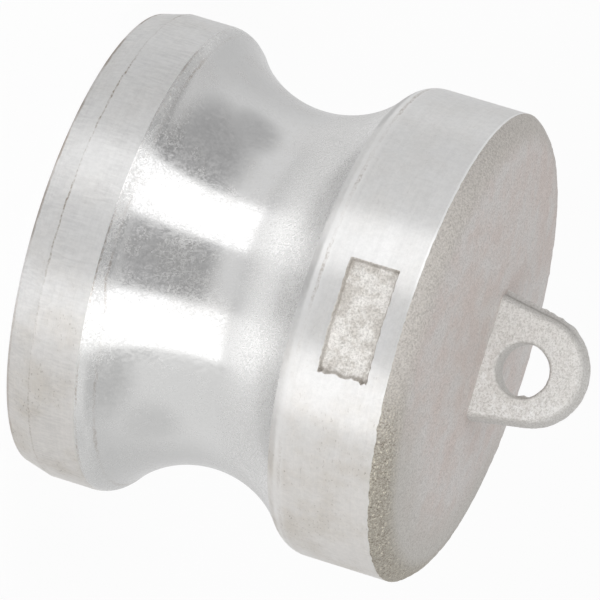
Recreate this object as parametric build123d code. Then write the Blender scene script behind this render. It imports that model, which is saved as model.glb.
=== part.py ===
from build123d import *
import os
from math import acos, atan2, cos, hypot, isclose, radians, sin, sqrt, tan

# A camlock dust plug of the 2 inch size, in millimetres. It is one aluminium casting, turned on its
# outside. It stands on its nose: z runs from the sealing face, at z = 0, up to the closed end, and
# the origin is the centre of the sealing face. The eye's broad faces and the marking pad face -Y.

# Turned outside
face_diameter = 61.2
land_diameter = 63.0
lead_in_length = 3.4
band_diameter = 63.0

# Cam groove, a concave arc turned round the plug
groove_floor_diameter = 48.6
groove_arc_radius = 15.6
groove_height = 23.9
crest_radius = 3.4
shoulder_radius = 3.8

# Cast closed end, a shallow crown with a rounded rim, which the turned band trims
end_height = 54.4
crown_radius = 240.0
rim_radius = 5.0
turning_allowance = 0.7

# Hollow inside, cored with a draft and open at the nose
cup_mouth_diameter = 43.0
cup_draft = 2.0
cup_corner_radius = 6.0
end_wall = 5.4
mouth_chamfer = 1.0

# Marking pad, a shallow bare recess in the band, left as cast
pad_length = 15.0
pad_width = 6.7
pad_depth = 0.9
pad_draft = 20.0
pad_height = 44.4
pad_turn = 0.8

# Chain eye, a flat lug with a round tip, cast on the middle of the closed end. The mould parts in its
# middle plane, where it is widest, and both its halves are drafted from there.
lug_base_width = 17.6
lug_tip_radius = 7.5
lug_tip_height = 6.15
lug_thickness = 4.4
lug_draft = 16.0
lug_edge_radius = 0.8
eye_diameter = 7.0
eye_height = 5.2
eye_offset = 0.4
eye_rim_radius = 0.4

# Worked out from the values above
land_radius = land_diameter / 2
band_radius = band_diameter / 2
groove_axis_radius = groove_floor_diameter / 2 + groove_arc_radius
crown_centre = end_height - crown_radius


def groove_half_width(radius):
    """Height from the groove's middle to where its arc reaches this radius."""
    return sqrt(groove_arc_radius**2 - (groove_axis_radius - radius) ** 2)


def crown_height(radius):
    """Height of the crowned end at this radius."""
    return crown_centre + sqrt(crown_radius**2 - radius**2)


def corner_at(section, point):
    """The corner of a half section that lies at this radius and height."""
    return section.vertices().sort_by_distance(point)[0]


def turned_outline():
    """Half section of the lead-in, land, groove and band, with the corners that the tool rounds."""
    nose_corner = (land_radius, groove_height - groove_half_width(land_radius))
    groove_floor = (groove_floor_diameter / 2, groove_height)
    band_corner = (band_radius, groove_height + groove_half_width(band_radius))
    clear_height = end_height + turning_allowance
    with BuildSketch(Plane.XZ) as section:
        with BuildLine():
            Polyline((0, 0), (face_diameter / 2, 0), (land_radius, lead_in_length), nose_corner)
            ThreePointArc(nose_corner, groove_floor, band_corner)
            Polyline(band_corner, (band_radius, clear_height), (0, clear_height), (0, 0))
        make_face()
        fillet(corner_at(section, nose_corner), crest_radius)
        fillet(corner_at(section, band_corner), shoulder_radius)
    return section.sketch


def blank_outline():
    """Half section of the casting before it is turned: a crowned end with a rounded rim."""
    blank_radius = band_radius + turning_allowance
    rim_corner = (blank_radius, crown_height(blank_radius))
    crown_middle = (blank_radius / 2, crown_height(blank_radius / 2))
    with BuildSketch(Plane.XZ) as section:
        with BuildLine():
            Polyline((0, end_height), (0, 0), (blank_radius, 0), rim_corner)
            ThreePointArc(rim_corner, crown_middle, (0, end_height))
        make_face()
        fillet(corner_at(section, rim_corner), rim_radius)
    return section.sketch


def core_outline():
    """Half section of the sand core that leaves the cup: drafted, round-cornered, flared at its mouth."""
    slope = tan(radians(cup_draft))
    mouth = cup_mouth_diameter / 2
    floor_height = end_height - end_wall
    floor_corner = (mouth - floor_height * slope, floor_height)
    throat = (mouth - mouth_chamfer * slope, mouth_chamfer)
    with BuildSketch(Plane.XZ) as section:
        with BuildLine():
            Polyline((0, 0), (mouth + mouth_chamfer, 0), throat, floor_corner, (0, floor_height), (0, 0))
        make_face()
        fillet(corner_at(section, floor_corner), cup_corner_radius)
    return section.sketch


def marking_recess():
    """The block that leaves the pad: a ring that follows the band, kept between two drafted ends."""
    slope = tan(radians(pad_draft))
    floor_radius = band_radius - pad_depth
    clear_radius = band_radius + pad_depth
    floor_half = pad_width / 2 - pad_depth * slope
    clear_half = pad_width / 2 + pad_depth * slope
    end_distance = sqrt(band_radius**2 - (pad_length / 2) ** 2)
    floor_end = pad_length / 2 - pad_depth * slope
    clear_end = pad_length / 2 + (clear_radius - end_distance) * slope
    with BuildSketch(Plane.XZ) as ring_section:
        Polygon(
            (floor_radius, pad_height - floor_half),
            (clear_radius, pad_height - clear_half),
            (clear_radius, pad_height + clear_half),
            (floor_radius, pad_height + floor_half),
            align=None,
        )
    with BuildSketch() as ends:
        Polygon(
            (-floor_end, pad_depth - end_distance),
            (-clear_end, -clear_radius),
            (clear_end, -clear_radius),
            (floor_end, pad_depth - end_distance),
            align=None,
        )
    ring = revolve(ring_section.sketch, Axis.Z)
    window = extrude(ends.sketch, amount=end_height)
    return (ring & window).rotate(Axis.Z, pad_turn)


def plug_body():
    """The cup: the blank turned to the outside outline, less the core and the pad."""
    turned = revolve(turned_outline(), Axis.Z)
    blank = revolve(blank_outline(), Axis.Z)
    core = revolve(core_outline(), Axis.Z)
    return (turned & blank) - core - marking_recess()


def lug_outline():
    """The lug in its parting plane: a foot below the crown, sides tangent to the tip's arc."""
    half_base = lug_base_width / 2
    foot = crown_height(hypot(half_base, lug_thickness / 2)) - lug_edge_radius
    tip_centre = end_height + lug_tip_height
    rise = tip_centre - foot
    turn = acos(lug_tip_radius / hypot(half_base, rise)) - atan2(rise, half_base)
    side = (lug_tip_radius * cos(turn), tip_centre + lug_tip_radius * sin(turn))
    mirrored_side = (-side[0], side[1])
    with BuildSketch(Plane.XZ) as outline:
        with BuildLine():
            Line((half_base, foot), side)
            ThreePointArc(side, (0, tip_centre + lug_tip_radius), mirrored_side)
            Polyline(mirrored_side, (-half_base, foot), (half_base, foot))
        make_face()
    return outline.sketch


def chain_lug():
    """The eye's plate, seated on the crown, with its free edges rounded and the hole cored through."""
    crown_foot = crown_height(hypot(lug_base_width, lug_thickness) / 2)
    with BuildPart() as lug:
        extrude(lug_outline(), amount=lug_thickness / 2, both=True, taper=lug_draft)
        free_edges = [edge for edge in lug.edges() if edge.center().Z > crown_foot]
        fillet([edge for edge in free_edges if abs(edge.center().Y) > lug_thickness / 4], lug_edge_radius)
        with Locations(Pos(eye_offset, 0, end_height + eye_height) * Rot(90, 0, 0)):
            Cylinder(eye_diameter / 2, lug_thickness, mode=Mode.SUBTRACT)
        circles = lug.edges().filter_by(GeomType.CIRCLE)
        fillet([edge for edge in circles if isclose(edge.radius, eye_diameter / 2)], eye_rim_radius)
    crown = Pos(0, 0, crown_centre) * Sphere(crown_radius)
    return lug.part - crown


os.makedirs("parts", exist_ok=True)
export_step(plug_body(), "parts/plug_body.step")
export_step(chain_lug(), "parts/chain_lug.step")
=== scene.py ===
import bpy
import numpy as np
from mathutils import Matrix, Vector


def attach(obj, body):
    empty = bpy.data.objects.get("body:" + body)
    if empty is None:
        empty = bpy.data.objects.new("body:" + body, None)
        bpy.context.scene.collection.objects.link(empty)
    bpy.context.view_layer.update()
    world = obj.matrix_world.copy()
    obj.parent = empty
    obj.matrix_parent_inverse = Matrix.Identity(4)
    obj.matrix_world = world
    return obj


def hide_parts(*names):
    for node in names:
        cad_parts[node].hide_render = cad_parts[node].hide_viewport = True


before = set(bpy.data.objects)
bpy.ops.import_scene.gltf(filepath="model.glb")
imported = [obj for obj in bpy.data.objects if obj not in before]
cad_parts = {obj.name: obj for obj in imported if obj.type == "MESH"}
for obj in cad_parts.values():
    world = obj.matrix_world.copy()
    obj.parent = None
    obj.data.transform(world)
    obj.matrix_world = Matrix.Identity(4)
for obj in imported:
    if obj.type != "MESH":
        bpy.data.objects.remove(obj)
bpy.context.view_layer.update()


# The plug's casting: one cup of sand-cast aluminium, open at the nose. The lathe has trimmed its outside
# up to the band's ragged edge, and left the inside, the pad and the closed end raw.
# Sizes are in millimetres and heights are from the sealing face.
face_radius = 30.6
land_radius = 31.5
lead_in_length = 3.4
groove_floor_radius = 24.3
groove_arc_radius = 15.6
groove_height = 23.9
crest_radius = 3.4
shoulder_radius = 3.8
edge_height = 50.37
end_height = 54.4
crown_radius = 240.0
crown_centre = end_height - crown_radius
crown_dip = 0.2
rim_radius = 5.0
rim_centre_radius = 27.2
cup_mouth_radius = 21.5
cup_draft = np.radians(2.0)
cup_corner_radius = 6.0
cup_floor_height = 49.0
mouth_chamfer = 1.0
pad_ends = np.radians([-12.97, 14.57])
pad_sides = np.array([41.05, 47.75])
pad_depth = 0.9
pad_wall = 0.33
pad_relief = 0.06
pad_tear = 0.2
pad_waver = 0.05
cup_lump = 0.05
crown_lump = 0.02
rim_lump = 0.03
deepest_lump = 0.2
CAST, TURNED, POLISHED = 0, 1, 2


def lumps(x, y, z, shortest, longest, seed):
    """Cast unevenness: the sum of 40 sine waves through space, in seeded directions and of wavelengths
    spread evenly by ratio between the two given, scaled so that its root mean square is 1."""
    rng = np.random.default_rng(seed)
    way = rng.normal(size=(40, 3))
    way /= np.linalg.norm(way, axis=1, keepdims=True)
    length = shortest * (longest / shortest) ** rng.random(40)
    phase = rng.uniform(0, 2 * np.pi, 40)
    total = np.zeros(np.broadcast(x, y, z).shape)
    for (a, b, c), wave, start in zip(way, 2 * np.pi / length, phase):
        total += np.sin(wave * (a * x + b * y + c * z) + start)
    return total * np.sqrt(2 / 40)


def smooth_step(low, high, value):
    """0 below low, 1 above high, and the cubic 3t^2 - 2t^3 between them."""
    t = np.clip((value - low) / (high - low), 0, 1)
    return t * t * (3 - 2 * t)


def arc(centre, radius, start, end, count):
    """Points (r, z) at even steps of angle, in radians, round a centre."""
    turn = np.linspace(start, end, count)
    return np.stack([centre[0] + radius * np.cos(turn), centre[1] + radius * np.sin(turn)], 1)


def rolled_corner(radius, side):
    """The corner that rolls from the cylinder into the groove's arc. Its centre lies one corner radius
    inside the cylinder and the sum of both radii from the arc's centre. Gives that centre and its turn."""
    across = groove_floor_radius + groove_arc_radius - (land_radius - radius)
    along = np.sqrt((groove_arc_radius + radius) ** 2 - across**2)
    return (land_radius - radius, groove_height + side * along), np.arctan2(along, across)


def outside_angles():
    """Angles round the axis from -Y towards +X: close on the front, closest at the pad's two ends and
    wider behind, with a count that divides by four, so that rings can be halved twice."""
    ends = np.degrees(pad_ends)
    even = np.concatenate([np.arange(-100, 100, 0.8), np.arange(100, 260, 1.6)])
    far = even[np.abs(even - ends[:, None]).min(0) > 1.1]
    near = (ends[:, None] + np.linspace(-1.0, 1.0, 9)).ravel()
    angle = np.sort(np.concatenate([far, near]))
    return np.radians(angle[: len(angle) // 4 * 4])


def half_section():
    """The half section from the middle of the cup's floor, round the nose and up to the band's edge, as
    points (r, z), with the finish of the strip that starts at each point."""
    axis = (groove_floor_radius + groove_arc_radius, groove_height)
    crest, crest_turn = rolled_corner(crest_radius, -1)
    shoulder, shoulder_turn = rolled_corner(shoulder_radius, 1)
    corner_height = cup_floor_height - cup_corner_radius
    corner_reach = cup_corner_radius / np.cos(cup_draft)
    corner = (cup_mouth_radius - corner_height * np.tan(cup_draft) - corner_reach, corner_height)
    throat = (cup_mouth_radius - mouth_chamfer * np.tan(cup_draft), mouth_chamfer)
    cup_corner = arc(corner, cup_corner_radius, np.pi / 2, cup_draft, 8)
    low, high = pad_sides
    band = np.concatenate([
        np.linspace(shoulder[1], low - 0.3, 6),
        np.linspace(low, low + pad_wall, 3),
        np.linspace(low + pad_wall, high - pad_wall, 18)[1:-1],
        np.linspace(high - pad_wall, high, 3),
        np.linspace(high + 0.3, edge_height, 8),
    ])
    pieces = [
        (np.linspace((0, cup_floor_height), cup_corner[0], 10), CAST),
        (cup_corner, CAST),
        (np.linspace(cup_corner[-1], throat, 16), CAST),
        (np.linspace(throat, (cup_mouth_radius + mouth_chamfer, 0), 3), TURNED),
        (np.linspace((cup_mouth_radius + mouth_chamfer, 0), (face_radius, 0), 8), TURNED),
        (np.linspace((face_radius, 0), (land_radius, lead_in_length), 7), TURNED),
        (np.linspace((land_radius, lead_in_length), (land_radius, crest[1]), 10), TURNED),
        (arc(crest, crest_radius, 0, crest_turn / 4, 3), TURNED),
        (arc(crest, crest_radius, crest_turn / 4, crest_turn, 8), POLISHED),
        (arc(axis, groove_arc_radius, np.pi + crest_turn, np.pi - shoulder_turn, 46), POLISHED),
        (arc(shoulder, shoulder_radius, -shoulder_turn, 0, 9), TURNED),
        (np.stack([np.full(len(band), land_radius), band], 1), TURNED),
    ]
    points = np.concatenate([line[:-1] for line, _ in pieces] + [pieces[-1][0][-1:]])
    finish = np.concatenate([np.full(len(line) - 1, kind) for line, kind in pieces])
    return points, finish


def raw_rim(angle):
    """The rim's arc, with the cast lumps on its radius, from the ragged line where it leaves the band's
    cylinder to the crown, as arrays (r, z). The line's height is the rim centre's plus
    sqrt(lumpy radius^2 - overhang^2), and it is rougher towards +X."""
    centre_height = crown_centre + np.sqrt((crown_radius - rim_radius) ** 2 - rim_centre_radius**2)
    overhang = land_radius - rim_centre_radius
    rough = 0.01 + 0.02 * smooth_step(-0.25, 0.8, np.cos(angle - 1.3))
    start = np.arccos(overhang / rim_radius)
    end = np.arccos(rim_centre_radius / (crown_radius - rim_radius))
    share = np.linspace(0, 1, 20)[:, None]
    sweep = start + share * (end - start)
    reach = rim_centre_radius + rim_radius * np.cos(sweep)
    lump = lumps(reach * np.sin(angle), -reach * np.cos(angle), rim_radius * np.sin(sweep), 0.7, 2.5, 11)
    lump *= rough + (rim_lump - rough) * smooth_step(0, 1, share)
    lumpy = rim_radius + np.clip(lump, -deepest_lump, deepest_lump)
    first = np.arccos(overhang / lumpy[0])
    sweep = first + share * (end - first)
    return rim_centre_radius + lumpy * np.cos(sweep), centre_height + lumpy * np.sin(sweep)


def casting_rings():
    """Every ring of the plug as arrays: angle, r and z, rows by columns; the finish of the strip above
    each ring; the length along the section; and how deep the pad is cut, from 0 at its edge to 1 a wall's
    width inside. The pad's floor has lumps, its sides waver, and the end towards +X is torn; these shifts
    fade from its edge as bell curves. The crown is a sphere with lumps that dips towards its middle."""
    angle = outside_angles()
    points, finish = half_section()
    turn = np.tile(angle, (len(points), 1))
    radius, height = (np.tile(points[:, k : k + 1], (1, len(angle))) for k in (0, 1))
    raw = np.concatenate([finish == CAST, [False]])
    inside = lumps(radius * np.sin(turn), -radius * np.cos(turn), height, 1.2, 7.0, 3)
    radius[raw] -= cup_lump * inside[raw] * (points[raw, :1] > 1)

    rim_r, rim_z = raw_rim(angle)
    band = np.flatnonzero((points[:, 0] > land_radius - 0.001) & (points[:, 1] > pad_sides[0] - 1.2))
    top = band[points[band, 1] > pad_sides[1] + 0.1]
    share = (points[top, 1] - points[top[0], 1]) / (edge_height - points[top[0], 1])
    height[top] = points[top[0], 1] + share[:, None] * (rim_z[0] - points[top[0], 1])

    from_side = np.minimum(height[band] - pad_sides[0], pad_sides[1] - height[band])
    from_end = np.minimum(turn[band] - pad_ends[0], pad_ends[1] - turn[band]) * land_radius
    depth = np.clip(np.minimum(from_side, from_end) / pad_wall, 0, 1)
    cut = np.zeros_like(radius)
    cut[band] = depth
    relief = pad_relief * lumps(land_radius * turn[band], height[band], 0 * depth, 1.2, 5.0, 8)
    radius[band] -= depth * pad_depth - np.clip(relief, -0.15, 0.15) * smooth_step(0.8, 1, depth)
    torn = pad_tear * lumps(height[band], 0 * depth, 0 * depth, 0.8, 2.4, 5) / land_radius
    at_right_end = (turn[band] > 0) * (np.abs(from_side) < 3.4) * (from_side > -0.05)
    turn[band] += torn * np.exp(-((from_end / 0.9) ** 2)) * at_right_end
    waver = pad_waver * lumps(land_radius * turn[band], 0 * depth, 0 * depth, 0.6, 2.5, 6)
    height[band] += waver * np.exp(-((from_side / 0.4) ** 2)) * (from_end > -0.05)

    crown_r = np.linspace(rim_r[-1].mean(), 0, 58)[1:, None] + 0 * angle
    crown_z = crown_centre + np.sqrt(crown_radius**2 - crown_r**2)
    lump = crown_lump * lumps(crown_r * np.sin(angle), -crown_r * np.cos(angle), crown_z, 1.0, 6.0, 12)
    crown_z += np.clip(lump, -deepest_lump, deepest_lump) - crown_dip * smooth_step(8, 0, crown_r)
    more = len(rim_r) - 1 + len(crown_r)
    radius = np.concatenate([radius, rim_r[1:], crown_r])
    height = np.concatenate([height, rim_z[1:], crown_z])
    turn = np.concatenate([turn, np.tile(angle, (more, 1))])
    cut = np.concatenate([cut, np.zeros((more, len(angle)))])
    finish = np.concatenate([finish, np.full(more, CAST)])
    section = np.hypot(np.diff(radius[:, 0]), np.diff(height[:, 0]))
    return turn, radius, height, finish, np.concatenate([[0], np.cumsum(section)]), cut


def join_rings(lower, upper):
    """Triangles between two closed rings of vertex numbers that match one to one, or two to one where a
    ring is halved, or where one of them is a pole. They face out when the upper ring lies above."""

    def after(ring):
        return np.roll(ring, -1)

    if len(lower) == 1:
        return np.stack([np.full_like(upper, lower[0]), after(upper), upper], 1)
    if len(upper) == 1:
        return np.stack([lower, after(lower), np.full_like(lower, upper[0])], 1)
    if len(lower) == len(upper):
        one = np.stack([lower, after(lower), after(upper)], 1)
        return np.concatenate([one, np.stack([lower, after(upper), upper], 1)])
    if len(lower) == 2 * len(upper):
        even, odd = lower[::2], lower[1::2]
        return np.concatenate([
            np.stack([even, odd, upper], 1),
            np.stack([odd, after(even), after(upper)], 1),
            np.stack([odd, after(upper), upper], 1),
        ])
    even, odd = upper[::2], upper[1::2]
    return np.concatenate([
        np.stack([lower, odd, even], 1),
        np.stack([lower, after(lower), odd], 1),
        np.stack([after(lower), after(even), odd], 1),
    ])


def new_piece(name, points, triangles, finishes, sharp_angle):
    """A piece from points in millimetres and triangles, shaded smooth but for edges past an angle."""
    mesh = bpy.data.meshes.new(name)
    mesh.from_pydata((points * 0.001).tolist(), [], triangles.tolist())
    mesh.polygons.foreach_set("use_smooth", np.ones(len(triangles), bool))
    mesh.polygons.foreach_set("material_index", finishes)
    mesh.set_sharp_from_angle(angle=np.radians(sharp_angle))
    piece = bpy.data.objects.new(name, mesh)
    bpy.context.scene.collection.objects.link(piece)
    return piece


def carry(piece, name, values):
    """Stores a value on each point of a piece, for its finish to read."""
    piece.data.attributes.new(name, "FLOAT", "POINT").data.foreach_set("value", values)


turn, radius, height, finish, along, cut = casting_rings()
ring_count, column_count = radius.shape
cup_rings, mouth_rings = 31, 36
ring_number = np.arange(ring_count)
every = np.where((radius[:, 0] < 3.2) | (ring_number < cup_rings), 4, 1)
every[(every == 1) & ((radius[:, 0] < 12) | (ring_number < mouth_rings))] = 2
points, lengths, cut_depth, rings, strips, strip_finish = [], [], [], [], [], []
for row in range(ring_count):
    kept = np.arange(0, 1 if radius[row, 0] < 0.01 else column_count, every[row])
    rings.append(len(lengths) + np.arange(len(kept)))
    r, a, z = radius[row, kept], turn[row, kept], height[row, kept]
    points.extend(np.stack([r * np.sin(a), -r * np.cos(a), z], 1))
    lengths.extend([along[row]] * len(kept))
    cut_depth.extend(cut[row, kept])
cut_depth = np.array(cut_depth)
for row in range(ring_count - 1):
    strip = join_rings(rings[row], rings[row + 1])
    strips.append(strip)
    strip_finish.append(np.where(cut_depth[strip].sum(1) > 0, CAST, finish[row]))
triangles, finishes = np.concatenate(strips), np.concatenate(strip_finish)
plug = new_piece("plug_casting", np.array(points), triangles, finishes, 13.0)
carry(plug, "along", np.array(lengths, float))
# Painted shade along the pad's walls, strongest halfway across each wall.
carry(plug, "painted_shade", 4 * cut_depth * (1 - cut_depth))


# The finishes of the casting. Raw skin keeps the sand's grain; the lathe leaves rings and chatter on the
# nose and band; the cam groove is finished with emery and shines, with fine scratches across it.
def fit(tree, kind, inputs=None, **settings):
    """Adds one node, with its settings, and joins or fills its inputs. Gives its outputs."""
    made = tree.nodes.new(kind)
    for name, value in settings.items():
        setattr(made, name, value)
    for socket, value in (inputs or {}).items():
        if isinstance(value, bpy.types.NodeSocket):
            tree.links.new(value, made.inputs[socket])
        else:
            made.inputs[socket].default_value = value
    return made.outputs


def worked(tree, operation, *values, clamp=False):
    """One step of arithmetic on values or sockets."""
    return fit(tree, "ShaderNodeMath", dict(enumerate(values)), operation=operation, use_clamp=clamp)[0]


def added(tree, one, other, clamp=False):
    """The sum of two values or sockets."""
    return worked(tree, "ADD", one, other, clamp=clamp)


def product(tree, one, other, clamp=False):
    """The product of two values or sockets."""
    return worked(tree, "MULTIPLY", one, other, clamp=clamp)


def vector(tree, operation, *values):
    """One step of arithmetic on vectors. Gives its outputs."""
    return fit(tree, "ShaderNodeVectorMath", dict(enumerate(values)), operation=operation)


def spread(tree, value, low, high, start=0.0, end=1.0):
    """A value carried from the range low to high onto the range start to end by the cubic smooth step."""
    inputs = {"Value": value, "From Min": low, "From Max": high, "To Min": start, "To Max": end}
    return fit(tree, "ShaderNodeMapRange", inputs, interpolation_type="SMOOTHSTEP")[0]


def grain(tree, where, scale, detail=2.0, roughness=0.5):
    """Soft three-dimensional noise, about 0.5 on average."""
    inputs = {"Vector": where, "Scale": scale, "Detail": detail, "Roughness": roughness}
    return fit(tree, "ShaderNodeTexNoise", inputs)[0]


def tinted(tree, share, one, other):
    """A colour between two, by share."""
    return fit(tree, "ShaderNodeMix", {0: share, 6: one, 7: other}, data_type="RGBA")[2]


def stored(tree, name):
    """A value that the mesh carries on its points."""
    return fit(tree, "ShaderNodeAttribute", attribute_name=name)["Fac"]


def effect(name, takes, gives):
    """An empty node group with named inputs and outputs. Gives its tree, its inputs and its end node."""
    tree = bpy.data.node_groups.new(name, "ShaderNodeTree")
    for label, kind in takes.items():
        tree.interface.new_socket(label, in_out="INPUT", socket_type="NodeSocket" + kind)
    for label, kind in gives.items():
        tree.interface.new_socket(label, in_out="OUTPUT", socket_type="NodeSocket" + kind)
    return tree, tree.nodes.new("NodeGroupInput").outputs, tree.nodes.new("NodeGroupOutput")


def use(tree, group, inputs):
    """Places an effect in a material. Gives its outputs."""
    return fit(tree, "ShaderNodeGroup", inputs, node_tree=group)


def finish_sheet(name, metallic=1.0, anisotropy=0.0):
    """An empty metal finish: its tree, its Principled shader, and the place on the piece in metres."""
    material = bpy.data.materials.new(name)
    material.use_nodes = True
    tree = material.node_tree
    shader = tree.nodes["Principled BSDF"]
    shader.inputs["Metallic"].default_value = metallic
    if anisotropy:
        shader.inputs["Anisotropic"].default_value = anisotropy
        shader.inputs["Anisotropic Rotation"].default_value = 0.25
        around = fit(tree, "ShaderNodeTangent", direction_type="RADIAL", axis="Z")[0]
        tree.links.new(around, shader.inputs["Tangent"])
    return material, tree, shader, fit(tree, "ShaderNodeTexCoord")["Object"]


def dress(tree, shader, colour, roughness, height, depth):
    """Feeds a finish's colour, roughness and bump, whose depth is in metres, into its shader."""
    tree.links.new(colour, shader.inputs["Base Color"])
    tree.links.new(roughness, shader.inputs["Roughness"])
    bump = fit(tree, "ShaderNodeBump", {"Strength": 1.0, "Distance": depth, "Height": height})
    tree.links.new(bump[0], shader.inputs["Normal"])


# Sand: fine and coarse grains in the height, pits between them, and a soft mottle.
tree, given, end = effect(
    "cast grain",
    {"Place": "Vector", "Fineness": "Float"},
    {"Height": "Float", "Pits": "Float", "Mottle": "Float"},
)
fine = grain(tree, given["Place"], product(tree, given["Fineness"], 4200.0), 2.0, 0.7)
coarse = grain(tree, given["Place"], product(tree, given["Fineness"], 1500.0), 1.0)
tree.links.new(added(tree, fine, product(tree, coarse, 0.6)), end.inputs["Height"])
pits = grain(tree, given["Place"], product(tree, given["Fineness"], 3600.0), 4.0, 0.85)
tree.links.new(spread(tree, pits, 0.36, 0.60), end.inputs["Pits"])
mottle = grain(tree, given["Place"], 150.0, 4.0, 0.65)
tree.links.new(spread(tree, mottle, 0.35, 0.65), end.inputs["Mottle"])
cast_grain = tree

# Lathe work: rings that follow each other along the section, chatter across them, and stains.
tree, given, end = effect(
    "lathe marks",
    {"Place": "Vector", "Along": "Float"},
    {"Rings": "Float", "Chatter": "Float", "Stains": "Float"},
)
around = vector(tree, "MULTIPLY", given["Place"], (40.0, 40.0, 0.0))[0]
lift = fit(tree, "ShaderNodeCombineXYZ", {"Z": product(tree, given["Along"], 3.0)})[0]
rings = grain(tree, vector(tree, "ADD", around, lift)[0], 1.0, 3.0, 0.7)
tree.links.new(rings, end.inputs["Rings"])
chatter = grain(tree, vector(tree, "MULTIPLY", given["Place"], (2600.0, 2600.0, 520.0))[0], 1.0, 1.0)
tree.links.new(spread(tree, chatter, 0.32, 0.68), end.inputs["Chatter"])
stains = grain(tree, given["Place"], 130.0, 4.0, 0.6)
tree.links.new(spread(tree, stains, 0.4, 0.7), end.inputs["Stains"])
lathe_marks = tree

# A line at one height, for the tool's lines and for lines of painted shade and painted glints: it wavers,
# breaks into dots and fades in patches.
tree, given, end = effect(
    "line at one height",
    {"Place": "Vector", "Height": "Float", "Width": "Float", "Gaps": "Float"},
    {"Mask": "Float"},
)
waver = worked(tree, "SUBTRACT", grain(tree, given["Place"], 700.0, 1.0), 0.5)
level = fit(tree, "ShaderNodeSeparateXYZ", {0: given["Place"]})["Z"]
level = added(tree, level, product(tree, waver, 0.0004))
from_line = worked(tree, "ABSOLUTE", worked(tree, "SUBTRACT", level, given["Height"]))
from_line = worked(tree, "DIVIDE", from_line, given["Width"])
dots = grain(tree, given["Place"], 2600.0, 3.0, 0.7)
dots = spread(tree, dots, given["Gaps"], added(tree, given["Gaps"], 0.1), 0.3, 1.0)
patches = spread(tree, grain(tree, given["Place"], 110.0, 2.0), 0.42, 0.58, 0.2, 1.0)
line = product(tree, spread(tree, from_line, 0.4, 1.0, 1.0, 0.0), product(tree, dots, patches))
tree.links.new(line, end.inputs["Mask"])
height_line = tree

# Scratches in six directions: the middle level of a noise that is stretched into sheets, cut short by a
# second noise. Fine specks are added, and both are weaker in patches.
tree, given, end = effect("fine scratches", {"Place": "Vector"}, {"Lines": "Float"})
sheet_size, piece_size = (0.014, 0.014, 0.0002), (0.0016, 0.0006, 0.0006)
lines = 0.0
for turned in (
    (0.4, 0.9, 0.2), (1.1, 0.3, 1.9), (2.2, 1.4, 0.7),
    (0.2, 2.0, 2.6), (1.7, 0.6, 1.2), (2.8, 1.1, 0.5),
):
    noises = []
    for size, detail in ((sheet_size, 0.0), (piece_size, 1.0)):
        inputs = {0: given["Place"], "Rotation": turned, "Scale": size}
        way = fit(tree, "ShaderNodeMapping", inputs, vector_type="TEXTURE")[0]
        noises.append(grain(tree, way, 1.0, detail))
    off_middle = worked(tree, "ABSOLUTE", worked(tree, "SUBTRACT", noises[0], 0.5))
    line = spread(tree, off_middle, 0.0, 0.06, 1.0, 0.0)
    lines = added(tree, lines, product(tree, line, spread(tree, noises[1], 0.47, 0.60)))
patches = spread(tree, grain(tree, given["Place"], 260.0, 3.0, 0.7), 0.36, 0.60, 0.65, 1.0)
specks = spread(tree, grain(tree, given["Place"], 3000.0, 3.0, 0.8), 0.42, 0.70)
lines = added(tree, product(tree, lines, 0.7), product(tree, specks, 1.1))
tree.links.new(product(tree, lines, patches, clamp=True), end.inputs["Lines"])
scratches = tree

grey, brown, white = (0.25, 0.24, 0.23, 1), (0.24, 0.17, 0.11, 1), (1, 1, 1, 1)

# Raw skin: reddish grey on the crown, and on the rim browner towards +X, with painted glints and deep
# grains. The pad's floor is clean and light in patches, and painted shade lies along its walls.
raw_skin, tree, shader, place = finish_sheet("raw_cast_skin", 0.6)
sand = use(tree, cast_grain, {"Place": place, "Fineness": 1.0})
part = fit(tree, "ShaderNodeSeparateXYZ", {0: place})
level_place = fit(tree, "ShaderNodeCombineXYZ", {0: part["X"], 1: part["Y"]})[0]
out = vector(tree, "LENGTH", level_place)["Value"]
colour = tinted(tree, sand["Mottle"], (0.68, 0.61, 0.58, 1), (0.70, 0.675, 0.66, 1))
right = spread(tree, part["X"], 0.003, 0.018)
outer_right = product(tree, right, spread(tree, out, 0.018, 0.028))
colour = tinted(tree, outer_right, colour, (0.60, 0.58, 0.55, 1))
on_rim = product(tree, spread(tree, out, 0.0272, 0.0303), spread(tree, part["Z"], 0.049, 0.050))
rim_colour = tinted(tree, right, (0.61, 0.58, 0.55, 1), (0.44, 0.41, 0.355, 1))
colour = tinted(tree, on_rim, colour, rim_colour)
sharp = product(tree, on_rim, spread(tree, right, 0.0, 1.0, 0.25, 1.0))
glints = grain(tree, place, 3000.0, 3.0, 0.85)
# Painted glints: bright specks on the rim's sharp grain.
painted_rim_glints = product(tree, sharp, spread(tree, glints, 0.54, 0.66))
colour = tinted(tree, painted_rim_glints, colour, (0.85, 0.80, 0.68, 1))
deep = product(tree, sharp, spread(tree, glints, 0.46, 0.36))
colour = tinted(tree, deep, colour, (0.20, 0.17, 0.13, 1))
below_rim = spread(tree, part["Z"], 0.0490, 0.0489, 0.0, 1.0)
in_pad = product(tree, spread(tree, out, 0.0300, 0.0303), below_rim)
clean = spread(tree, grain(tree, place, 600.0, 3.0, 0.7), 0.40, 0.58)
pad_colour = tinted(tree, clean, (0.74, 0.71, 0.67, 1), (0.91, 0.89, 0.86, 1))
colour = tinted(tree, in_pad, colour, pad_colour)
pitted = tinted(tree, 0.34, colour, (0.16, 0.14, 0.12, 1))
colour = tinted(tree, sand["Pits"], pitted, colour)
# Painted shade along the pad's walls.
colour = tinted(tree, product(tree, stored(tree, "painted_shade"), 0.42), colour, (0.20, 0.17, 0.14, 1))
dress(tree, shader, colour, spread(tree, sand["Pits"], 0, 1, 0.72, 0.55), sand["Height"], 0.00007)
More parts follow.
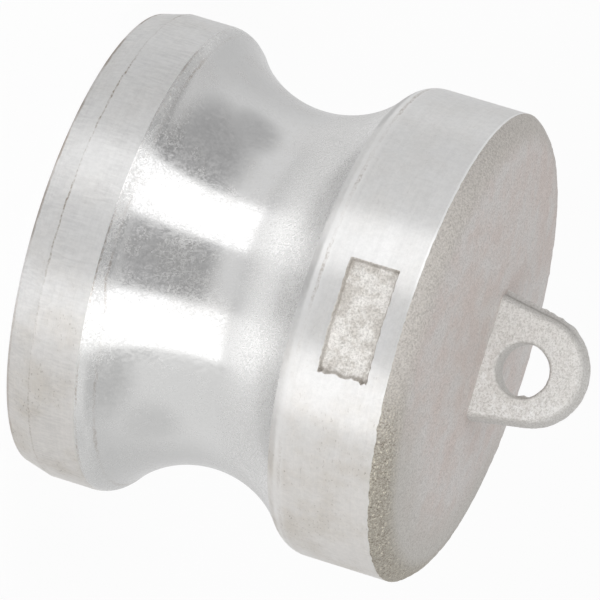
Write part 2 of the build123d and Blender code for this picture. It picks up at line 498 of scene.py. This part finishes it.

# Turned metal: rings and chatter, which is strongest on the nose; warm stains with pocks towards +X; a
# painted highlight on the burr along the band's upper edge towards -X; a painted light strip at the
# shoulder; and lines at given heights.
turned_metal, tree, shader, place = finish_sheet("turned_metal", 0.5, anisotropy=1.0)
marks = use(tree, lathe_marks, {"Place": place, "Along": stored(tree, "along")})
part = fit(tree, "ShaderNodeSeparateXYZ", {0: place})
right = spread(tree, part["X"], 0.004, 0.026)
colour = tinted(tree, right, (0.865, 0.862, 0.858, 1), (0.85, 0.825, 0.795, 1))
stained = product(tree, marks["Stains"], spread(tree, part["X"], 0.0, 0.026, 0.15, 1.0))
colour = tinted(tree, stained, colour, (0.74, 0.70, 0.645, 1))
on_nose = spread(tree, part["Z"], 0.011, 0.009, 0.25, 1.0)
patches = spread(tree, grain(tree, place, 160.0, 2.0), 0.4, 0.6, 0.4, 1.0)
chatter = product(tree, marks["Chatter"], product(tree, on_nose, patches))
strokes = added(tree, product(tree, chatter, 0.12), spread(tree, marks["Rings"], 0.3, 0.7, 0.0, 0.04))
mottle = spread(tree, grain(tree, place, 1300.0, 5.0, 0.85), 0.35, 0.65, 0.0, 0.11)
colour = tinted(tree, added(tree, strokes, mottle), colour, (0.3, 0.3, 0.3, 1))
# Painted highlight: a white line along the burr on the band's upper edge, towards -X.
burr_highlight = product(tree, spread(tree, part["Z"], 0.0500, 0.0502), spread(tree, part["X"], 0.0, -0.012))
colour = tinted(tree, product(tree, burr_highlight, 0.7), colour, white)
pocks = grain(tree, vector(tree, "MULTIPLY", place, (1700.0, 1700.0, 3400.0))[0], 1.0, 2.0, 0.6)
pocks = product(tree, spread(tree, pocks, 0.62, 0.70), product(tree, stained, 0.7))
colour = tinted(tree, pocks, colour, (0.2, 0.16, 0.12, 1))
# Painted light: a lighter strip just above the shoulder.
strip = product(tree, spread(tree, part["Z"], 0.0368, 0.0374), spread(tree, part["Z"], 0.0390, 0.0380))
colour = tinted(tree, product(tree, strip, 0.3), colour, (0.96, 0.955, 0.95, 1))
towards_left = spread(tree, part["X"], 0.014, -0.008, 0.4, 1.0)
# Lines at given heights: a dark line along the nose's outer edge, the tool's brown lines, a line of painted
# shade along the crease at the shoulder, and a dotted white line of painted glints.
for level, width, gaps, share, shade in (
    (0.0, 0.0004, 0.0, 0.6, brown),
    (0.00342, 0.00015, 0.47, 0.75, brown),
    (0.0364, 0.0009, 0.0, 0.35, grey),
    (0.0377, 0.0009, 0.56, 0.9, white),
    (0.0380, 0.00035, 0.47, 0.5, brown),
):
    line = use(tree, height_line, {"Place": place, "Height": level, "Width": width, "Gaps": gaps})["Mask"]
    line = product(tree, product(tree, line, towards_left), share)
    colour = tinted(tree, line, colour, shade)
relief = added(tree, product(tree, marks["Rings"], 0.3), product(tree, chatter, 0.6))
ring_sheen = spread(tree, marks["Rings"], 0.3, 0.7, 0.42, 0.47)
roughness = added(tree, ring_sheen, spread(tree, part["Z"], 0.009, 0.036, 0.05, 0.0))
dress(tree, shader, colour, roughness, relief, 0.00001)

# Polished metal with fine scratches. On the crest lies a duller strip with painted glints and grit between
# two tool lines, narrower towards -X and fainter towards +X. The throat under the shoulder is rougher, and
# painted lighter as a painted highlight, most of all in the middle of the front and back.
polished_metal, tree, shader, place = finish_sheet("polished_metal")
marks = use(tree, lathe_marks, {"Place": place, "Along": stored(tree, "along")})
lines = use(tree, scratches, {"Place": place})["Lines"]
part = fit(tree, "ShaderNodeSeparateXYZ", {0: place})
narrowed = spread(tree, part["X"], 0.004, 0.010, -0.0008, 0.0)
strip_end = spread(tree, worked(tree, "SUBTRACT", part["Z"], narrowed), 0.0112, 0.0126, 1.0, 0.0)
crest = product(tree, spread(tree, part["Z"], 0.0097, 0.0100), strip_end)
crest = product(tree, crest, spread(tree, part["X"], 0.004, 0.010, 1.0, 0.4))
crest = product(tree, crest, spread(tree, grain(tree, place, 140.0, 2.0), 0.42, 0.6, 0.6, 1.0))
speckle = grain(tree, place, 3000.0, 3.0, 0.8)
# Painted glints: light specks on the crest's strip.
crest_glints = product(tree, crest, spread(tree, speckle, 0.46, 0.38))
grit = product(tree, crest, spread(tree, speckle, 0.59, 0.68))
throat = spread(tree, part["Z"], 0.0255, 0.0305)
aside = spread(tree, worked(tree, "ABSOLUTE", part["X"]), 0.006, 0.022)
throat_sheen_colour = tinted(tree, aside, (0.86, 0.855, 0.85, 1), (0.67, 0.665, 0.66, 1))
colour = tinted(tree, marks["Stains"], (0.61, 0.61, 0.61, 1), (0.58, 0.575, 0.57, 1))
# Painted light: the groove is a little lighter towards +X.
colour = tinted(tree, spread(tree, part["X"], 0.006, 0.012), colour, (0.625, 0.625, 0.62, 1))
colour = tinted(tree, product(tree, lines, 0.3), colour, (0.73, 0.725, 0.72, 1))
# Painted highlight in the throat, strongest in the middle of the front and back.
colour = tinted(tree, throat, colour, throat_sheen_colour)
colour = tinted(tree, crest_glints, colour, (0.85, 0.85, 0.83, 1))
colour = tinted(tree, product(tree, grit, 0.45), colour, (0.38, 0.30, 0.22, 1))
for level, share in ((0.0099, 0.4), (added(tree, narrowed, 0.0119), 0.35)):
    inputs = {"Place": place, "Height": level, "Width": 0.00018, "Gaps": 0.45}
    line = use(tree, height_line, inputs)["Mask"]
    colour = tinted(tree, product(tree, line, share), colour, brown)
relief = added(tree, grain(tree, place, 4500.0, 2.0), grit)
roughness = added(tree, spread(tree, marks["Stains"], 0, 1, 0.11, 0.15), product(tree, lines, 0.15))
duller = added(tree, product(tree, throat, 0.12), product(tree, crest, 0.14))
roughness = added(tree, roughness, duller)
matt = added(tree, product(tree, throat, 0.2), product(tree, lines, 0.2))
matt = added(tree, matt, product(tree, crest, 0.3), clamp=True)
tree.links.new(worked(tree, "SUBTRACT", 1.0, matt), shader.inputs["Metallic"])
dress(tree, shader, colour, roughness, relief, 0.0000025)

for material in (raw_skin, turned_metal, polished_metal):
    plug.data.materials.append(material)
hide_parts("plug_body")
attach(plug, "root")


# The chain eye: a flat lug with a round tip and a cored hole, cast in one with the plug and left raw. It
# stands on the middle of the closed end. The mould parts in its middle plane, from where both halves are
# drafted, and has left a ragged fin there on the side towards -X, and a small flash in the hole.
eye_centre = np.array([0.4, 59.6])
eye_radius = 3.5
eye_rim = 0.4
tip_centre = np.array([0.0, 60.55])
tip_radius = 7.5
foot_half_width = 8.8
foot_height = 53.44
foot_depth = 1.0
lug_half_thickness = 2.2
lug_draft = np.radians(16.0)
lug_edge = 0.8
fin_height = 0.42
fin_width = 0.28
flash_height = 0.32
sand_loss = 0.025
sand_lump = 0.02


def lug_outline():
    """Points and outward normals (x, z) round the lug in its parting plane: up the right side, over the
    tip, down the left side and back along the foot. The sides touch the tip's arc: their normal's slope is
    the angle whose cosine is the tip radius over the foot corner's distance from the tip's centre, less
    the slope of that distance. They run on below the foot by its depth, to stay inside the crown."""
    rise = tip_centre[1] - foot_height
    turn = np.arccos(tip_radius / np.hypot(foot_half_width, rise)) - np.arctan2(rise, foot_half_width)
    side_normal = np.array([np.cos(turn), np.sin(turn)])
    down_side = np.array([np.sin(turn), -np.cos(turn)])
    corner = np.array([foot_half_width, foot_height]) + foot_depth * down_side
    side = np.linspace(corner, tip_centre + tip_radius * side_normal, 34)[:-1]
    sweep = np.linspace(turn, np.pi - turn, 130)
    over_tip = np.stack([np.cos(sweep), np.sin(sweep)], 1)
    foot = np.linspace(corner * (-1, 1), corner, 60)[1:-1]
    points = np.concatenate([side, tip_centre + tip_radius * over_tip, side[::-1] * (-1, 1), foot])
    normals = np.concatenate([
        np.tile(side_normal, (len(side), 1)),
        over_tip,
        np.tile(side_normal * (-1, 1), (len(side), 1)),
        np.tile((0.0, -1.0), (len(foot), 1)),
    ])
    return points, normals


def with_y(flat, y):
    """Points or directions (x, z) with one y put between."""
    return np.concatenate([flat, np.full((len(flat), 1), y)], 1)[:, [0, 2, 1]]


def lug_grid():
    """The lug as a ring-shaped grid, with its painted shade and painted edge highlight at each point. Every
    outline point has one closed section: from the parting plane along the front's drafted side, round its
    edge, over its face and into the eye, and back the same way behind. A point of the rounded edge lies in
    from the outline by the edge's centre less radius times cos q, and out along the thickness by radius
    times sin q. The fin is a bell curve across the parting plane; cast lumps are taken off along the normal."""
    outline, outward = lug_outline()
    from_eye = outline - eye_centre
    from_eye /= np.linalg.norm(from_eye, axis=1, keepdims=True)
    inner = eye_centre + eye_radius * from_eye
    edge_y = lug_half_thickness - lug_edge
    edge_in = edge_y * np.tan(lug_draft) + lug_edge / np.cos(lug_draft)
    loop = []
    for side in (-1, 1):
        half = []
        for y in np.linspace(0, edge_y + lug_edge * np.sin(lug_draft), 9)[1 if side > 0 else 0 : -1]:
            place = outline - y * np.tan(lug_draft) * outward
            half.append((place, side * y, np.cos(lug_draft) * outward, side * np.sin(lug_draft)))
        for q in np.linspace(lug_draft, np.pi / 2, 7):
            place = outline - (edge_in - lug_edge * np.cos(q)) * outward
            y = edge_y + lug_edge * np.sin(q)
            half.append((place, side * y, np.cos(q) * outward, side * np.sin(q)))
        start, stop = outline - edge_in * outward, inner + eye_rim * from_eye
        for t in np.linspace(0, 1, 17)[1:-1]:
            half.append((start + t * (stop - start), side * lug_half_thickness, 0 * outward, side))
        for q in np.linspace(np.pi / 2, 0, 5):
            place = inner + eye_rim * (1 - np.cos(q)) * from_eye
            y = lug_half_thickness - eye_rim * (1 - np.sin(q))
            half.append((place, side * y, -np.cos(q) * from_eye, side * np.sin(q)))
        for y in np.linspace(lug_half_thickness - eye_rim, 0, 9)[1 : -1 if side > 0 else 9]:
            half.append((inner, side * y, -from_eye, 0.0))
        loop += half if side < 0 else half[::-1]
    place = np.stack([with_y(flat, y) for flat, y, _, _ in loop])
    normal = np.stack([with_y(flat, y) for _, _, flat, y in loop])
    normal /= np.linalg.norm(normal, axis=2, keepdims=True)
    x, y, z = np.moveaxis(place, 2, 0)
    from_hole = np.hypot(x - eye_centre[0], z - eye_centre[1])
    round_eye = np.arctan2(z - eye_centre[1], x - eye_centre[0])
    in_hole = from_hole < eye_radius + 0.01
    left = smooth_step(1.0, -5.0, x) * smooth_step(67.5, 61.0, z)
    ragged = 0.85 + 0.25 * lumps(x, 0 * y, z, 0.8, 2.5, 31)
    flash = flash_height * np.exp(-(((round_eye - 0.15) / 0.45) ** 2))
    fin = np.exp(-((y / fin_width) ** 2)) * np.where(in_hole, flash, fin_height * left) * ragged
    side_face = np.abs(normal[..., 1]) < 0.5
    # Painted shade: the seam in front of the fin, the drafted sides and rounded edge, and the wall of the
    # hole.
    seam = left * np.exp(-(((y + 1.1) / 0.3) ** 2))
    rounded = smooth_step(0.999, 0.93, np.abs(normal[..., 1]))
    painted_shade = np.where(in_hole, 0.16, rounded * (0.34 + 0.66 * seam))
    # Painted highlight along the front face's edge, in patches.
    edge = np.exp(-(((normal[..., 1] + 0.99) / 0.02) ** 2)) * (from_hole > eye_radius + 1)
    patchy = 0.6 + 0.4 * np.clip(lumps(x, 0 * y, z, 0.6, 2.0, 17), -1, 1)
    painted_edge_highlight = edge * smooth_step(-2, 4, x - 0.5 * (z - 60)) * patchy
    lump = lumps(x, y, z, 0.5, 3.0, 21)
    shift = np.where(side_face, fin, 0) - np.clip(sand_loss + sand_lump * lump, 0, 0.1)
    return place + normal * shift[..., None], painted_shade, painted_edge_highlight


grid, painted_shade, painted_edge_highlight = lug_grid()
number = np.arange(painted_shade.size).reshape(painted_shade.shape)
beside, ahead = np.roll(number, -1, 0), np.roll(number, -1, 1)
across = np.roll(beside, -1, 1)
triangles = np.concatenate([
    np.stack([number.ravel(), across.ravel(), beside.ravel()], 1),
    np.stack([number.ravel(), ahead.ravel(), across.ravel()], 1),
])
lug = new_piece("chain_lug_casting", grid.reshape(-1, 3), triangles, np.zeros(len(triangles), int), 60.0)
carry(lug, "painted_shade", painted_shade.ravel())
carry(lug, "painted_edge_highlight", painted_edge_highlight.ravel())

# Its skin: the plug's cast skin, with painted light making it lighter, and with deeper grain; a painted
# highlight in patches along the front face's edge; and painted shade round the sides, most of all in front
# of the fin, and in the hole.
eye_skin, tree, shader, place = finish_sheet("raw_eye_skin", 0.5)
sand = use(tree, cast_grain, {"Place": place, "Fineness": 1.1})
# Painted light: the same cast skin as the plug's, coloured lighter.
colour = tinted(tree, sand["Mottle"], (0.83, 0.82, 0.80, 1), (0.80, 0.785, 0.76, 1))
pitted = tinted(tree, 0.45, colour, (0.32, 0.30, 0.27, 1))
colour = tinted(tree, sand["Pits"], pitted, colour)
# Painted highlight in patches along the front face's edge.
edge_highlight = product(tree, stored(tree, "painted_edge_highlight"), sand["Pits"])
colour = tinted(tree, edge_highlight, colour, (0.92, 0.92, 0.91, 1))
# Painted shade round the sides, in the seam in front of the fin and in the hole.
colour = tinted(tree, product(tree, stored(tree, "painted_shade"), 0.6), colour, (0.12, 0.10, 0.085, 1))
dress(tree, shader, colour, spread(tree, sand["Pits"], 0, 1, 0.68, 0.5), sand["Height"], 0.00009)
lug.data.materials.append(eye_skin)
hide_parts("chain_lug")
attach(lug, "root")


# The table: plain white, with a round card of the same white, slightly glossy, on which the plug stands.
# Outside the card the plug's metal mirrors the room's lower half instead of the table.
half = 4.0
drop = 0.00005
sheet = bpy.data.meshes.new("floor")
corners = [(-half, -half, 0), (half, -half, 0), (half, half, 0), (-half, half, 0)]
sheet.from_pydata(corners, [], [(0, 1, 2, 3)])
floor = bpy.data.objects.new("floor", sheet)
floor.data.transform(Matrix.Translation((0, 0, -drop)))
bpy.context.scene.collection.objects.link(floor)
floor_finish = bpy.data.materials.new("white_table")
floor_finish.use_nodes = True
tree = floor_finish.node_tree
tree.nodes.clear()
ray = fit(tree, "ShaderNodeLightPath")
shiny = added(tree, ray["Is Glossy Ray"], ray["Is Transmission Ray"])
seen = added(tree, ray["Is Camera Ray"], shiny, clamp=True)
from_middle = vector(tree, "LENGTH", fit(tree, "ShaderNodeTexCoord")["Object"])["Value"]
matt = fit(tree, "ShaderNodeBsdfDiffuse", {"Color": (0.9, 0.9, 0.9, 1)})[0]
glow = fit(tree, "ShaderNodeEmission", {"Color": (1, 1, 1, 1), "Strength": 1.0})[0]
gloss = fit(tree, "ShaderNodeBsdfGlossy", {"Color": (1, 1, 1, 1), "Roughness": 0.05})[0]
clear = fit(tree, "ShaderNodeBsdfTransparent")[0]
lit = fit(tree, "ShaderNodeMixShader", {0: product(tree, seen, 0.94), 1: matt, 2: glow})[0]
glossy_share = product(tree, ray["Is Glossy Ray"], 0.3)
card = fit(tree, "ShaderNodeMixShader", {0: glossy_share, 1: lit, 2: gloss})[0]
outside = product(tree, ray["Is Glossy Ray"], spread(tree, from_middle, 0.064, 0.067))
surface = fit(tree, "ShaderNodeMixShader", {0: outside, 1: card, 2: clear})[0]
fit(tree, "ShaderNodeOutputMaterial", {"Surface": surface})
floor.data.materials.append(floor_finish)


# The room: white all round, and a little darker in front, to the left and right, and behind, where the
# polished groove mirrors it. Its light on matt surfaces is weaker, as the screens light them too.
room_light = 0.38
world = bpy.data.worlds.new("studio")
bpy.context.scene.world = world
world.use_nodes = True
tree = world.node_tree
tree.nodes.clear()
way = fit(tree, "ShaderNodeTexCoord")["Generated"]


def dark_corner(azimuth, elevation, inner, outer, depth):
    """How much light is missing round a direction: the full depth inside one angle, none outside another,
    and a smooth step of the angle's cosine between them."""
    a, e = np.radians([azimuth, elevation])
    towards = (np.sin(a) * np.cos(e), -np.cos(a) * np.cos(e), np.sin(e))
    near = vector(tree, "DOT_PRODUCT", way, towards)["Value"]
    edge, core = np.cos(np.radians([outer, inner])).tolist()
    return spread(tree, near, edge, core, 0.0, depth)


dark = dark_corner(0, 40, 34, 58, 0.48)
for corner in (
    (-74, 32, 14, 46, 0.5),
    (-97, 4, 6, 24, 0.40),
    (-90, 58, 4, 16, 0.6),
    (100, 56, 3, 34, 0.30),
    (110, 12, 4, 24, 0.18),
    (180, 15, 30, 75, 0.25),
):
    dark = worked(tree, "MAXIMUM", dark, dark_corner(*corner))
mirrored = worked(tree, "SUBTRACT", 1.0, dark)
ray = fit(tree, "ShaderNodeLightPath")
shiny = added(tree, ray["Is Glossy Ray"], ray["Is Transmission Ray"], clamp=True)
level = fit(tree, "ShaderNodeMix", {0: shiny, 2: room_light, 3: mirrored})[0]
level = fit(tree, "ShaderNodeMix", {0: ray["Is Camera Ray"], 2: level, 3: 1.0})[0]
glow = fit(tree, "ShaderNodeBackground", {"Color": (1, 1, 1, 1), "Strength": level})[0]
fit(tree, "ShaderNodeOutputWorld", {"Surface": glow})


# The lamps: two tall screens of lit paper, which stand on the table in front and bow over the plug.
def bowed_screen(name, edges, level):
    """A lit screen, part of a dome of 1 m round the plug. Each side edge is an arc of a circle in an upright
    plane. The plane is turned from -Y by the edge's angle and set sideways by 0.965 times its sine."""
    steps = 24
    rise = np.radians(np.linspace(-40, 88, steps + 1))[:, None]
    arcs = []
    for edge in np.radians(edges):
        towards = np.array([np.sin(edge), -np.cos(edge), 0])
        beside = np.array([np.cos(edge), np.sin(edge), 0])
        aside = 0.965 * np.sin(edge)
        upright = np.cos(rise) * towards + np.sin(rise) * (0, 0, 1)
        arcs.append(aside * beside + np.sqrt(1 - aside**2) * upright)
    first, second = np.arange(steps), np.arange(steps) + steps + 1
    quads = np.stack([first, second, second + 1, first + 1], 1)
    mesh = bpy.data.meshes.new(name)
    mesh.from_pydata(np.concatenate(arcs).tolist(), [], quads.tolist())
    paper = bpy.data.materials.new(name)
    paper.use_nodes = True
    paper.node_tree.nodes.clear()
    glow = fit(paper.node_tree, "ShaderNodeEmission", {"Color": (1, 1, 1, 1), "Strength": level})[0]
    fit(paper.node_tree, "ShaderNodeOutputMaterial", {"Surface": glow})
    mesh.materials.append(paper)
    screen = bpy.data.objects.new(name, mesh)
    screen.visible_camera = False
    bpy.context.scene.collection.objects.link(screen)


bowed_screen("left_screen", (-23.6, -8.8), 2.0)
bowed_screen("right_screen", (10.3, 26.2), 2.0)


# The camera, above and in front of the eye's face, turned on its side as the plug lies in the picture.
camera_data = bpy.data.cameras.new("camera")
camera_data.lens = 465.09
camera_data.sensor_width = 36.0
camera_data.clip_start = 0.05
camera = bpy.data.objects.new("camera", camera_data)
right = Vector((-0.29157, 0.25139, 0.92292)).normalized()
back = Vector((0.0, -0.96485, 0.26281)).normalized()
up = back.cross(right).normalized()
facing = Matrix((right, up, back)).transposed().to_4x4()
camera.matrix_world = Matrix.Translation((0.00007, -0.97050, 0.29234)) @ facing
bpy.context.scene.collection.objects.link(camera)
bpy.context.scene.camera = camera
bpy.context.scene.view_settings.view_transform = "Standard"

bpy.context.view_layer.update()
